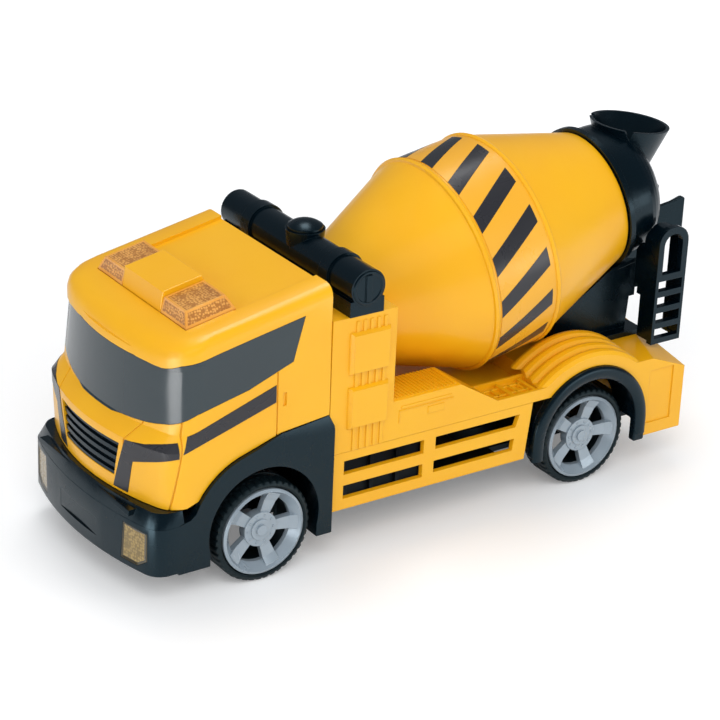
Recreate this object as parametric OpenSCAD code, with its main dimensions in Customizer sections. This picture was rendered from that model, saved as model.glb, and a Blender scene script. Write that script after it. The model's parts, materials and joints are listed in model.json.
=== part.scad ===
// Toy cement mixer truck: free-rolling wheels, turning drum, swinging chute,
// sprung sound button and battery compartment. The front of the truck faces -Y,
// its left side +X. The origin is on the ground, midway along the truck.
// All dimensions are in millimetres.

/* [Wheels] */
// Distance between the two axles
wheelbase = 135; // [130:1:140]
// Y position of the front axle
front_axle_y = -75.9; // [-80:0.1:-70]
// Outside diameter of a tyre
tyre_d = 36; // [34:0.5:36]
// Width of a tyre
tyre_w = 13; // [11:0.5:13]
// Outside diameter of a wheel rim
rim_d = 30.4; // [28:0.2:31]
// X of the outer face of a front wheel
front_wheel_x = 41.2; // [40.8:0.1:42]
// X of the outer face of a rear wheel
rear_wheel_x = 37.7; // [37.4:0.1:38.2]
// Diameter of a steel axle
axle_d = 3; // [2.6:0.1:3.4]

/* [Body] */
// Width over the cab and the load bed
body_w = 79.6; // [79:0.2:80.4]
// Height of the bed edge above the ground
bed_z = 42.8; // [42.4:0.1:43.2]
// Height of the seam between the bed and the side skirts
seam_z = 38.6; // [38:0.1:39]
// Thickness of the moulded walls
wall = 2; // [1.6:0.1:2.2]

/* [Drum] */
// Tilt of the drum axis
drum_tilt = 10.5; // [9.5:0.1:11.5]
// Outside radius of the drum's middle band
drum_r = 38.3; // [37.5:0.1:38.5]
// Length of the middle band
band_l = 26; // [24:0.5:26]
// Radius of the drum's rear end
mouth_r = 25.1; // [24.5:0.1:25.3]

/* [Controls] */
// Diameter of the push button's dome
button_d = 12; // [11:0.2:13]
// Travel of the push button
button_travel = 2; // [1:0.1:2.2]
// Clearance on the radius of a shaft or a slide in its hole
slide_gap = 0.08; // [0.03:0.01:0.1]

/* [Hidden] */

$fn = 48;
eps = 0.01;

// Shared positions, worked out from the driving dimensions
hub_z = tyre_d / 2;
rear_axle_y = front_axle_y + wheelbase;
half_w = body_w / 2;
rim_r = rim_d / 2;
guard_x = 41.2;
cab_front_y = front_axle_y - 43.2;
beacon_y = cab_front_y + 20.2;
cab_rear_y = front_axle_y + 24.6;
bumper_front_y = front_axle_y - 46.6;
tower_front_y = cab_rear_y + 0.3;
tower_rear_y = front_axle_y + 49.9;
tower_top_z = 86.7;
bed_rear_y = front_axle_y + 177.3;
block_top_z = bed_z + 0.5;
arch_z = 20.4;
front_arch_r = 20.9;
trim_z = arch_z + 0.5;
trim_outer_r = 25.4;
trim_inner_r = 20.6;
tube_y = front_axle_y + 37.6;
tube_z = 96;
button_x = 2.4;
tube_r = 6.5;
drum_y = front_axle_y + 91.7;
drum_z = 78.6;
front_cone_l = 37;
front_cone_slope = 0.43;
front_end_r = drum_r - front_cone_slope * front_cone_l;
rear_end_s = 66.9;
drum_wall = 1.6;
neck_r = 20;
chute_y = front_axle_y + 187.4;
chute_z = 74.4;
floor_z = 13;
speaker_y = front_axle_y + 104;
door_screw_y = front_axle_y + 76.6;
roof_slope = 11.2;
cab_corner_r = 8.5;

yellow = [0.97, 0.69, 0.13];
black = [0.10, 0.12, 0.14];
slate = [0.24, 0.28, 0.31];
wheel_grey = [0.50, 0.54, 0.58];
amber = [0.93, 0.60, 0.16, 0.75];
steel = [0.75, 0.75, 0.77];

// ---------- helpers ----------

// Points on an arc about [cx, cy], from angle a0 to a1
function arc(cx, cy, r, a0, a1, n = 10) =
    [for (i = [0:n]) [cx + r * cos(a0 + (a1 - a0) * i / n),
        cy + r * sin(a0 + (a1 - a0) * i / n)]];

// Closed plan outline with a bowed front, round corners and a square back
function bowed_plan(front_y, hw, rear_y, bow_r, corner_r) =
    let (turn = asin((hw - corner_r) / (bow_r - corner_r)),
        bow_y = front_y + bow_r,
        corner_x = hw - corner_r,
        corner_y = bow_y - (bow_r - corner_r) * cos(turn))
    concat([[-hw, rear_y]],
        arc(-corner_x, corner_y, corner_r, 180, 270 - turn, 6),
        arc(0, bow_y, bow_r, 270 - turn, 270 + turn, 14),
        arc(corner_x, corner_y, corner_r, 270 + turn, 360, 6),
        [[hw, rear_y]]);

// Extrudes an outline drawn in [y, z] across the truck, from x0 to x1
module across(x0, x1) {
    translate([x0, 0, 0])
        rotate([90, 0, 90])
            linear_extrude(x1 - x0)
                children();
}

// Places its children with +Z along the drum's axis and the origin at the front bead
module on_drum_axis() {
    translate([0, drum_y, drum_z])
        rotate([drum_tilt - 90, 0, 0])
            children();
}

module box(x0, x1, y0, y1, z0, z1) {
    translate([x0, y0, z0])
        cube([x1 - x0, y1 - y0, z1 - z0]);
}

module both_sides() {
    children();
    mirror([1, 0, 0])
        children();
}

// A round rod lying along X
module rod_x(d, x0, x1, y, z) {
    translate([x0, y, z])
        rotate([0, 90, 0])
            cylinder(d = d, h = x1 - x0);
}

// ---------- cab ----------

// One thin slice of the cab at height z; inset shrinks it on every side
module cab_slice(z, front_y, hw, inset) {
    translate([0, 0, z])
        linear_extrude(eps)
            polygon(bowed_plan(front_y + inset, hw - inset, cab_rear_y - inset, 94, cab_corner_r));
}

// Outer form of the cab, grown inwards by inset
module cab_form(inset = 0) {
    hull() {
        cab_slice(20, cab_front_y + 1.4, half_w, inset);
        cab_slice(44, cab_front_y - 0.1, half_w, inset);
        cab_slice(53.6, cab_front_y - 0.4, half_w, inset);
    }
    hull() {
        cab_slice(53.5, cab_front_y - 0.4, half_w, inset);
        cab_slice(58.4, cab_front_y + 4.2, half_w, inset);
    }
    hull() {
        cab_slice(58.3, cab_front_y + 4.2, half_w, inset);
        cab_slice(82, cab_front_y + 6.5, half_w - 0.4, inset);
    }
    hull()
        for (a = [0:22.5:90])
            intersection() {
                translate([0, 0, 79.85])
                    linear_extrude(30)
                        polygon(bowed_plan(cab_front_y + 5.2 + inset + 7 * (1 - cos(a)),
                            half_w - 0.4 - inset - 4 * (1 - cos(a)), cab_rear_y - inset, 94, 11));
                roof_profile(inset + 4 * (1 - sin(a)));
            }
}

// Side view of the roof: round brow at the front, then a steady rise to the back
module roof_profile(inset) {
    across(-50, 50)
        polygon(concat([[cab_rear_y + 5, 70], [cab_front_y - 5, 70]],
            [for (a = [176:-9:104])
                [cab_front_y + 17.5 + (12.3 - inset) * cos(a), 79.2 + (9.7 - inset) * sin(a)]],
            [[cab_rear_y + 5, roof_z(cab_rear_y + 5) - inset]]));
}

// Height of the roof's ridge-free top surface at y
function roof_z(y) = 88.14 + (y - cab_front_y - 12.2) * tan(roof_slope);

// Side view of everything that lies below the cab's lower edge
module below_cab(x0, x1, lift = 0) {
    across(x0, x1)
        polygon(concat([[cab_rear_y + 9, 0], [cab_front_y - 9, 0], [cab_front_y - 9, 33.4 + lift],
                [front_axle_y - 28.4, 33.4 + lift]],
            arc(front_axle_y, arch_z, 28.2 + lift, 149, 104, 8),
            [[front_axle_y + 6, 51.9 + lift], [cab_rear_y + 9, 55 + lift]]));
}

// Side view of the glass band that wraps round the cab
module glass_band(grow = 0) {
    across(-50, 50)
        offset(delta = grow)
            polygon([[cab_front_y - 6, 57.7], [cab_front_y + 4.2, 57.9], [cab_front_y + 8.2, 59.8],
                [cab_front_y + 12, 62.3], [cab_front_y + 18, 65.4], [cab_front_y + 37, 69.8],
                [cab_front_y + 53.5, 76],
                [cab_front_y + 57.6, 90.8], [cab_front_y + 40, 87.4], [cab_front_y + 26, 84.6],
                [cab_front_y + 14, 81.9], [cab_front_y + 10, 79.5], [cab_front_y - 6, 79.5]]);
}

// Slab that follows the bowed front, between two depths behind it
module bowed_layer(front, back, z0, z1) {
    translate([0, 0, z0])
        linear_extrude(z1 - z0)
            polygon(concat(arc(0, cab_front_y + 94, 94 - front, 257, 283, 12),
                arc(0, cab_front_y + 94, 94 - back, 283, 257, 12)));
}

// Front view of the grille: wider at its top
module grille_opening(grow = 0) {
    rotate([90, 0, 0])
        linear_extrude(200)
            offset(delta = grow)
                polygon([[-15.9, 38.4], [15.9, 38.4], [18.9, 50.8], [-18.9, 50.8]]);
}

module cab_shell() {
    color(yellow)
        difference() {
            cab_form();
            difference() {
                cab_form(wall + 0.6);
                box(-50, 50, cab_rear_y - wall - 1, cab_rear_y, 0, 110);
            }
            below_cab(-50, 50);
            intersection() {
                glass_band(0.1);
                difference() {
                    cab_form(-1);
                    cab_form(1.5);
                }
            }
            intersection() {
                grille_opening(0.1);
                bowed_layer(-3, 2.35, 30, 60);
            }
            beacon_pocket();
            roof_panel_recess();
            intersection() {
                cab_seams();
                difference() {
                    cab_form(-1);
                    cab_form(0.45);
                }
            }
            both_sides()
                box(half_w - 0.7, 50, front_axle_y + 6.7, front_axle_y + 8, 61.2, 65.8);
        }
}

// Thin band along a polyline, drawn in 2D
module polyline(points, w = 0.5) {
    for (i = [1:len(points) - 1])
        let (a = points[i - 1], d = points[i] - a)
            translate(a)
                rotate([0, 0, atan2(d[1], d[0])])
                    translate([-w / 2, -w / 2])
                        square([norm(d) + w, w]);
}

// Seam lines of the doors, the front corners and the hood panel
module cab_seams() {
    across(-50, 50) {
        polyline([[front_axle_y + 4.5, 40], [front_axle_y + 4.5, 74.5]]);
        polyline([[front_axle_y - 33.7, 33], [front_axle_y - 30.6, 52.3], [front_axle_y - 29.2, 65]], 0.55);
    }
    translate([0, front_axle_y - 20, 0])
        rotate([90, 0, 0])
            linear_extrude(50)
                for (side = [0, 1])
                    mirror([side, 0])
                        polyline([[19.4, 35], [21.2, 52.6], [24.6, 60]]);
}

// Shallow matt panel sunk into the roof
module roof_panel_recess() {
    on_roof(beacon_y + 17)
        translate([-29.2, 0, -1.1])
            cube([58.4, cab_rear_y - cab_front_y, 8]);
}

// Places its children on the sloping roof, with y = 0 at the given distance from the front
module on_roof(y) {
    translate([0, y, roof_z(y)])
        rotate([roof_slope, 0, 0])
            children();
}

module beacon_pocket() {
    on_roof(beacon_y - 0.2)
        translate([-28.8, 0, -6])
            cube([57.6, 19, 10]);
}

module windscreen_panel() {
    color(slate)
        intersection() {
            glass_band();
            difference() {
                cab_form();
                cab_form(1.45);
            }
        }
}

module grille_insert() {
    color(black)
        intersection() {
            grille_opening();
            union() {
                bowed_layer(1.4, 2.3, 30, 60);
                for (i = [0:4])
                    bowed_layer(0.5, 1.5, 38 + i * 2.85, 39.5 + i * 2.85);
            }
        }
}

// Side view of the thin door stripe, from the front corner seam back to the door seam
module door_stripe() {
    across(-50, 50)
        polygon([[front_axle_y - 30, 52.8], [front_axle_y - 28.2, 58.5], [front_axle_y + 4, 69.2],
            [front_axle_y + 4, 63.2]]);
}

// Front view of the angular corner stripe beside the grille
module corner_stripe() {
    rotate([90, 0, 0])
        linear_extrude(200)
            for (side = [0, 1])
                mirror([side, 0])
                    polygon([[21.9, 53.2], [15.4, 34.2], [22.3, 34.2], [25.2, 46.6], [45, 53.4], [45, 59.2],
                        [38, 56.6], [29.4, 54.2]]);
}

module cab_trim_stickers() {
    color(slate)
        intersection() {
            difference() {
                cab_form(-0.15);
                cab_form(0);
            }
            difference() {
                union() {
                    door_stripe();
                    intersection() {
                        corner_stripe();
                        box(-50, 50, cab_front_y - 5, cab_front_y + 11.9, 20, 70);
                    }
                }
                below_cab(-60, 60, 1);
            }
        }
}

// ---------- roof beacons ----------

// Bevelled block on the roof between x0 and x1, sloping in by the bevel at each free side
module beacon_block(x0, x1, bevel0, bevel1, height) {
    on_roof(beacon_y)
        hull() {
            translate([x0, 0.1, -5.6])
                cube([x1 - x0, 18.4, 5.8]);
            translate([x0 + bevel0, 2.3, 0])
                cube([x1 - x0 - bevel0 - bevel1, 14.7, height]);
        }
}

module beacon_cover() {
    color(yellow)
        difference() {
            beacon_block(-12.3, 12.3, 0, 0, 6.4);
            on_roof(beacon_y)
                translate([-10.3, 3.6, -6])
                    cube([20.6, 12, 10]);
        }
}

module beacon_lens_left() {
    color(amber)
        difference() {
            beacon_block(12.5, 28.4, 0, 2.6, 4.7);
            on_roof(beacon_y)
                translate([14, 3.8, -6])
                    cube([10.2, 11.6, 9]);
        }
}

module beacon_lens_right() {
    mirror([1, 0, 0])
        beacon_lens_left();
}

// ---------- front bumper and mudguards ----------

module bumper_slice(z, inset, h) {
    translate([0, 0, z])
        linear_extrude(h)
            polygon(bowed_plan(bumper_front_y + inset * 1.6, guard_x - inset,
                front_axle_y - 14, 135, 6.5));
}

module bumper_form(inset = 0) {
    bumper_slice(11.7, inset, 16.8 - inset * 0.5);
    hull() {
        bumper_slice(28.4 - inset * 0.5, inset, eps);
        bumper_slice(33.2 - inset * 0.5, inset + 1.6, eps);
    }
}

// Outline of a mudguard seen from the side, up to the cab's lower edge
module guard_outline() {
    polygon(concat([[cab_rear_y + 1.6, 11], [front_axle_y - 32, 11],
            [front_axle_y - 32, 28.6], [front_axle_y - 27.8, 29.6]],
        arc(front_axle_y, arch_z, 28, 157, 104, 8),
        [[front_axle_y + 6, 51.7], [cab_rear_y, 53.7], [cab_rear_y + 1.6, 50]]));
}

module guard_side() {
    difference() {
        union() {
            across(half_w - wall + 0.6, guard_x)
                guard_outline();
            intersection() {
                across(26, guard_x)
                    guard_outline();
                rod_x(2 * front_arch_r + 3.6, 26, guard_x, front_axle_y, arch_z);
            }
            box(26, guard_x, cab_rear_y - 4.6, cab_rear_y + 1.6, 11, 34);
        }
        rod_x(2 * front_arch_r, 20, 60, front_axle_y, arch_z);
        box(20, 60, front_axle_y - front_arch_r + 0.6, front_axle_y + front_arch_r - 0.6, 0, arch_z);
        box(0, half_w + 0.1, tower_front_y - 0.1, tower_front_y + 9, 0, 60);
        translate([guard_x, 0, 48.6])
            rotate([0, -16, 0])
                box(0, 10, -200, 0, 0, 40);
    }
}

module headlight_window(grow = 0) {
    rotate([90, 0, 0])
        linear_extrude(200)
            offset(delta = grow)
                polygon([[25.2, 13.6], [33, 13.6], [37, 16.4], [37, 26.2], [26.2, 26.8]]);
}

module front_bumper() {
    color(black)
        difference() {
            union() {
                difference() {
                    bumper_form();
                    bumper_form(2.4);
                    box(-60, 60, front_axle_y - 30, 0, 0, 60);
                    box(-36, 36, bumper_front_y + 14, 0, 0, 60);
                }
                both_sides()
                    guard_side();
                box(-30, 30, bumper_front_y + 2.4, bumper_front_y + 12, 30.4, 32.4);
            }
            both_sides()
                intersection() {
                    headlight_window(0.1);
                    bumper_front_band(-1, 1.7);
                }
            translate([0, bumper_front_y - 1, 18.9])
                cube([24, 3.2, 6.4], center = true);
        }
}

// The layer of the bumper's front between two depths below its surface
module bumper_front_band(outer, inner) {
    difference() {
        bumper_slice(12, outer, 16);
        bumper_slice(11, inner, 18);
        box(-60, 60, bumper_front_y + 16, 0, 0, 60);
    }
}

module headlight_lens_left() {
    color(amber)
        intersection() {
            headlight_window();
            bumper_front_band(0, 1.65);
        }
}

module headlight_lens_right() {
    mirror([1, 0, 0])
        headlight_lens_left();
}

// ---------- load bed ----------

// Arched fender with four rounded ridges running over the rear wheel
module fender() {
    ridge_w = 4.9;
    intersection() {
        for (i = [0:3])
            translate([half_w - (i + 1) * ridge_w, rear_axle_y, 18.4])
                rotate([0, 90, 0])
                    rotate_extrude($fn = 72)
                        polygon([[0, 0], [31.6 + i * 0.35, 0], [32.8 + i * 0.35, 1.1],
                            [33.1 + i * 0.35, 2.4], [32.8 + i * 0.35, 3.9], [31.6 + i * 0.35, ridge_w],
                            [0, ridge_w]]);
        box(0, 60, 0, 200, bed_z - 2, 70);
    }
}

// Step behind the tower: flat ribbed top, then a slope cut off diagonally
module side_step() {
    step_z = 52.6;
    slope_y = front_axle_y + 77.6;
    intersection() {
        across(20, half_w)
            polygon([[tower_rear_y - 1, bed_z - 2], [tower_rear_y - 1, step_z], [slope_y, step_z],
                [slope_y + 16, bed_z], [slope_y + 16, bed_z - 2]]);
        linear_extrude(80)
            polygon([[half_w, tower_rear_y - 1], [half_w, slope_y + 16], [23.9, slope_y + 1.8],
                [23.9, tower_rear_y - 1]]);
    }
    for (i = [0:17])
        box(24, half_w - 1.6, tower_rear_y + 1.2 + i * 1.45, tower_rear_y + 1.9 + i * 1.45,
            step_z - 0.2, step_z + 0.25);
}

// Square tower behind the cab with its raised squares and upright ribs
module tower_details() {
    for (z = [54.4, 73.9])
        translate([half_w - 0.4, front_axle_y + 39.3, z])
            hull() {
                cube([1.6, 15.4, 14.8], center = true);
                translate([1.4, 0, 0])
                    cube([1.6, 13.8, 13.2], center = true);
            }
    for (i = [0:4])
        box(half_w - 0.2, half_w + 0.45, front_axle_y + 33.8 + i * 2.7, front_axle_y + 35 + i * 2.7,
            seam_z + 0.2, 85);
}

module drum_trough(grow, z0) {
    box(-26 - grow, 26 + grow, tower_rear_y - 1, front_axle_y + 118 + grow, z0, bed_z + 1 - grow);
}

module deck() {
    difference() {
        union() {
            box(-half_w, half_w, tower_rear_y - 1, bed_rear_y, seam_z, bed_z);
            drum_trough(wall - 1, 35);
            box(-half_w, half_w, rear_axle_y + 16, bed_rear_y, 13.4, block_top_z);
            both_sides() {
                fender();
                side_step();
            }
        }
        drum_trough(0, 37);
        box(-half_w + wall, half_w - wall, tower_rear_y - 2, rear_axle_y + 21, 0, bed_z - wall - 2.2);
        box(-half_w + wall, half_w - wall, rear_axle_y + 18, bed_rear_y - wall, 0, 35);
        box(-22, 22, rear_axle_y + 18, bed_rear_y - wall, 0, block_top_z - wall);
        both_sides() {
            deck_pocket();
            box(26, half_w - wall, tower_rear_y, front_axle_y + 74, 0, 50.4);
            rod_x(2 * trim_outer_r, half_w - wall - 1, 50, rear_axle_y, trim_z);
            rod_x(58, 24, half_w - wall, rear_axle_y, 18.4);
            box(half_w - wall - 1, 50, rear_axle_y - trim_outer_r, rear_axle_y + trim_outer_r, 0, trim_z);
            rear_corner_cut();
            box(half_w - 0.5, 50, bed_rear_y - 16, bed_rear_y - 5, 18, 38.6);
        }
    }
    difference() {
        drum_trough(wall - 1, 35);
        drum_trough(0, 37);
        box(-60, 60, -200, 200, bed_z, 60);
    }
    both_sides()
        for (y = [front_axle_y + 91.5, front_axle_y + 101, front_axle_y + 110.5])
            box(28, half_w - wall, y, y + 1.4, seam_z, bed_z - 0.6);
}

// Sunken panel of the bed beside the drum
module deck_pocket() {
    translate([0, 0, bed_z - 2])
        linear_extrude(10)
            polygon([[half_w - 1.4, front_axle_y + 95.4], [half_w - 1.4, front_axle_y + 112],
                [26, front_axle_y + 114], [26, front_axle_y + 83]]);
}

// Sloping facet on the upper rear corner of the bed
module rear_corner_cut() {
    translate([half_w, bed_rear_y - 13.8, bed_z])
        rotate([0, 0, 67.8])
            rotate([0, 23.2, 0])
                translate([-60, -60, 0])
                    cube([120, 120, 20]);
}

module body_shell() {
    color(yellow)
        difference() {
            union() {
                difference() {
                    box(-half_w, half_w, tower_front_y, tower_rear_y, seam_z, tower_top_z);
                    box(-half_w + wall, half_w - wall, tower_front_y + wall, tower_rear_y - wall, 0,
                        tower_top_z - wall);
                }
                both_sides()
                    tower_details();
                deck();
                intersection() {
                    on_drum_axis()
                        translate([0, 0, -front_cone_l - 14])
                            cylinder(d = 11, h = 12.6);
                    box(-10, 10, tower_rear_y - wall, tower_rear_y + 20, 40, 84);
                }
                body_bosses();
            }
            on_drum_axis()
                translate([0, 0, -front_cone_l - 30])
                    cylinder(d = 4, h = 40);
            translate([button_x, tube_y, tower_top_z - 10])
                cylinder(d = 5.4, h = 20);
            for (p = boss_points)
                translate([p[0], p[1], floor_z])
                    cylinder(d = 2.6, h = 12);
        }
}

// Screw bosses under the body: [x, y, height of the wall they hang from]
boss_points = [[-27, tower_front_y + 6, 85.5], [27, tower_front_y + 6, 85.5],
    [-18, front_axle_y + 124, 42], [18, front_axle_y + 124, 42],
    [-20, bed_rear_y - 9, 42], [20, bed_rear_y - 9, 42]];

module body_bosses() {
    for (p = boss_points)
        translate([p[0], p[1], floor_z + 2])
            cylinder(d = 6, h = p[2] - floor_z - 2);
}

// ---------- side skirts ----------

module skirt_slots() {
    y0 = front_axle_y + 31.2;
    across(half_w - 10, half_w + 10) {
        polygon([[y0, 30.3], [y0 + 32.2, 30.3], [y0 + 32.2, 35.3], [y0, 35.3]]);
        polygon([[y0, 21.4], [y0 + 32, 21.4], [y0 + 32, 26.3], [y0, 26.3]]);
        polygon([[y0 + 37, 30.7], [y0 + 71, 30.7], [y0 + 72.4, 35.3], [y0 + 37, 35.3]]);
        polygon([[y0 + 36.6, 22], [y0 + 70, 22], [y0 + 70.6, 26.4], [y0 + 36.6, 26.4]]);
    }
}

module side_skirt_left() {
    color(yellow)
        difference() {
            union() {
                across(half_w - wall, half_w)
                    polygon([[tower_front_y, 17.5], [rear_axle_y - 28.4, 17.5],
                        [rear_axle_y - 26, seam_z - 0.1],
                        [tower_front_y, seam_z - 0.1]]);
                box(half_w - 5, half_w - 1, tower_front_y, rear_axle_y - 29, 17.5, 19.3);
            }
            skirt_slots();
            rod_x(2 * trim_outer_r, 20, 60, rear_axle_y, trim_z);
        }
}

module side_skirt_right() {
    mirror([1, 0, 0])
        side_skirt_left();
}

// ---------- rear wheel arch trims ----------

module rear_arch_trim_left() {
    color(black)
        difference() {
            union() {
                intersection() {
                    union() {
                        rod_x(2 * trim_outer_r - 0.2, half_w - wall, half_w + 0.8, rear_axle_y, trim_z);
                        rod_x(2 * trim_inner_r + 3, 27.4, half_w, rear_axle_y, trim_z);
                    }
                    box(0, 60, -200, 200, trim_z, 80);
                }
                box(half_w - wall, half_w + 0.8, rear_axle_y - trim_outer_r + 0.1,
                    rear_axle_y - trim_inner_r, 16.6, trim_z + 0.1);
                box(half_w - wall, half_w + 0.8, rear_axle_y + trim_inner_r,
                    rear_axle_y + trim_outer_r - 0.1, 12.4, trim_z + 0.1);
            }
            rod_x(2 * trim_inner_r, 20, 60, rear_axle_y, trim_z);
        }
}

module rear_arch_trim_right() {
    mirror([1, 0, 0])
        rear_arch_trim_left();
}

// ---------- roof tube and push button ----------

module roof_tube() {
    color(black)
        difference() {
            union() {
                rod_x(2 * tube_r, -half_w - 0.4, half_w + 0.4, tube_y, tube_z);
                box(-half_w - 0.2, half_w + 0.2, tube_y - tube_r, tube_y + tube_r, tower_top_z, tube_z - 4);
                for (side = [-1, 1])
                    rod_x(2 * tube_r + 1.6, side * 24 - 2.6, side * 24 + 2.6, tube_y, tube_z);
                translate([button_x, tube_y, tower_top_z])
                    cylinder(d = 11, h = cup_floor_z - tower_top_z);
                translate([button_x, tube_y, tube_z + 1])
                    cylinder(r1 = button_d / 2 + 0.1, r2 = button_d / 2 + 0.75, h = cup_top_z - tube_z - 1);
            }
            difference() {
                box(-half_w + 2, half_w - 2, tube_y - tube_r + 1.6, tube_y + tube_r - 1.6,
                    tower_top_z - 1, tube_z);
                translate([button_x, tube_y, tower_top_z])
                    cylinder(d = 11, h = 20);
            }
            box(-60, 60, tube_y - 20, tube_y + 20, tower_top_z - 10, tower_top_z);
            translate([button_x, tube_y, tower_top_z - 1])
                cylinder(d = 5 + 2 * slide_gap, h = 30);
            translate([button_x, tube_y, spring_seat_z])
                cylinder(d = 8.8, h = 30);
            translate([button_x, tube_y, cup_floor_z])
                cylinder(r = button_d / 2 + 0.15, h = 30);
        }
}

// Heights of the cup on the tube that holds the button
cup_floor_z = tube_z + 5;
cup_top_z = tube_z + 7.6;
spring_seat_z = tube_z - 2;
button_rest_z = cup_floor_z + button_travel + 0.1;

module push_button() {
    color(black) {
        translate([button_x, tube_y, button_rest_z])
            rotate_extrude()
                polygon(concat([[0, 0], [button_d / 2 - 0.5, 0], [button_d / 2, 0.5], [button_d / 2, 1.3]],
                    arc(0, -6.5, 10, 54, 90, 8)));
        translate([button_x, tube_y, 79])
            cylinder(d = 5, h = button_rest_z - 78.9);
    }
}

// Coil spring round the button's stem
module button_spring() {
    turns = 4;
    color(steel)
        translate([button_x, tube_y, spring_seat_z])
            linear_extrude(button_rest_z - spring_seat_z, twist = -360 * turns, slices = 14 * turns)
                difference() {
                    circle(d = 8, $fn = 14);
                    circle(d = 6.6, $fn = 14);
                    translate([-5, 0])
                        square([10, 5]);
                }
}

// ---------- electronics ----------

board_z = 70;

module tact_switch() {
    color(black) {
        box(button_x - 3, button_x + 3, tube_y - 3, tube_y + 3, board_z + 1.6, board_z + 5.2);
        translate([button_x, tube_y, board_z + 5.2 - eps])
            cylinder(d = 3.4, h = 1.4);
    }
}

module circuit_board() {
    color([0.10, 0.32, 0.16])
        difference() {
            box(-22, 22, tower_front_y + wall + 1.4, tower_rear_y - wall - 1.4, board_z, board_z + 1.6);
            for (x = [-18, 18])
                translate([x, tube_y, board_z - 1])
                    cylinder(d = 3, h = 4);
            translate([0, tower_rear_y, board_z - 1])
                cylinder(d = 14, h = 4);
        }
}

module led_lamps() {
    color([0.92, 0.92, 0.86])
        both_sides() {
            on_roof(beacon_y)
                translate([19.1, 9.6, -5.6])
                    cylinder(d = 5, h = 6.4, $fn = 24);
            translate([30.5, bumper_front_y + 17.4, 20])
                rotate([90, 0, 0])
                    cylinder(d = 5, h = 7, $fn = 24);
        }
}

module speaker() {
    translate([0, speaker_y, floor_z + 2.1]) {
        color(slate)
            cylinder(d = 29, h = 3);
        color(steel)
            translate([0, 0, 2.9])
                cylinder(d = 15, h = 5);
    }
}

battery_y = [front_axle_y + 47.6, front_axle_y + 63.2];

module batteries() {
    color([0.22, 0.24, 0.27])
        for (i = [0, 1])
            mirror([i, 0, 0]) {
                rod_x(14.2, -24.6, 24.4, battery_y[i], 23.2);
                rod_x(5.2, 24.3, 25.8, battery_y[i], 23.2);
            }
}

module battery_contacts() {
    color(steel) {
        box(26.2, 26.7, battery_y[0] - 6, battery_y[1] + 6, 17.6, 28.6);
        for (y = battery_y)
            box(-26.7, -26.2, y - 6, y + 6, 17.6, 28.6);
    }
}

module battery_door() {
    color(black)
        difference() {
            union() {
                box(-26.6, 26.6, front_axle_y + 38.4, front_axle_y + 72.4, floor_z, floor_z + 1.8);
                box(-4.8, 4.8, front_axle_y + 72, door_screw_y + 3.8, floor_z, floor_z + 1.8);
            }
            translate([0, door_screw_y, floor_z - 1])
                cylinder(d = 2.7, h = 5);
            translate([0, door_screw_y, floor_z - 1])
                cylinder(d = 5.2, h = 1.9);
            for (i = [-4:4])
                box(i * 3 - 0.6, i * 3 + 0.6, front_axle_y + 41, front_axle_y + 48,
                    floor_z - 1, floor_z + 0.5);
        }
}

module screw(length) {
    cylinder(d = 4.8, h = 0.8);
    translate([0, 0, 0.7])
        cylinder(d = 2.5, h = length - 0.7);
}

module battery_door_screw() {
    color(steel)
        difference() {
            translate([0, door_screw_y, floor_z])
                screw(7.4);
            translate([0, door_screw_y, floor_z])
                cube([3.2, 0.7, 0.9], center = true);
        }
}

module chassis_screws() {
    color(steel)
        for (p = boss_points)
            translate([p[0], p[1], floor_z])
                difference() {
                    screw(9);
                    cube([3.2, 0.7, 0.9], center = true);
                }
}

switch_x = 17;
switch_y = front_axle_y + 83.2;

// Box centred on the power switch
module switch_box(half_x, half_y, z0, z1) {
    box(switch_x - half_x, switch_x + half_x, switch_y - half_y, switch_y + half_y, z0, z1);
}

module power_switch_housing() {
    color(black)
        difference() {
            switch_box(5.6, 8, floor_z + 2.1, floor_z + 7);
            switch_box(4.2, 6.5, floor_z, floor_z + 5.4);
        }
}

module power_switch_knob() {
    color(wheel_grey) {
        switch_box(4, 4, floor_z + 2.4, floor_z + 5);
        switch_box(1.8, 1.5, floor_z + 0.3, floor_z + 2.5);
    }
}

// ---------- chassis ----------

axle_block_x = 23;

module chassis_base() {
    color(black)
        difference() {
            union() {
                box(-axle_block_x, axle_block_x, front_axle_y - 28, bed_rear_y - 4, floor_z, floor_z + 2);
                box(-31, 31, tower_front_y + 1, front_axle_y + 104, floor_z, floor_z + 2);
                battery_box();
                for (y = [front_axle_y, rear_axle_y])
                    for (side = [-1, 1])
                        box(side * 19.5 - 3.5, side * 19.5 + 3.5, y - 5, y + 5, floor_z, 24);
                box(-axle_block_x, axle_block_x, front_axle_y - 28, front_axle_y - 26, floor_z, 29);
                speaker_housing();
            }
            for (y = [front_axle_y, rear_axle_y])
                rod_x(axle_d + 2 * slide_gap, -50, 50, y, hub_z);
            box(-26.8, 26.8, front_axle_y + 38.2, front_axle_y + 72.6, floor_z - 1, floor_z + 2.1);
            box(-5, 5, front_axle_y + 72, door_screw_y + 4, floor_z - 1, floor_z + 1.9);
            for (p = boss_points) {
                translate([p[0], p[1], floor_z - 1])
                    cylinder(d = 2.8, h = 5);
                translate([p[0], p[1], floor_z - 1])
                    cylinder(d = 5.2, h = 1.9);
            }
            for (x = [-2:2])
                for (y = [-2:2])
                    translate([x * 4, speaker_y + y * 4, floor_z - 1])
                        cylinder(d = 1.8, h = 5, $fn = 16);
            switch_box(2, 3.7, floor_z - 1, floor_z + 3);
            translate([0, door_screw_y, floor_z - 1])
                cylinder(d = 2.6, h = 10);
            box(-19, 19, front_axle_y - 22, front_axle_y - 8, floor_z - 1, floor_z + 0.7);
            box(-19, 19, rear_axle_y - 22, rear_axle_y - 8, floor_z - 1, floor_z + 0.7);
        }
}

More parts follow.
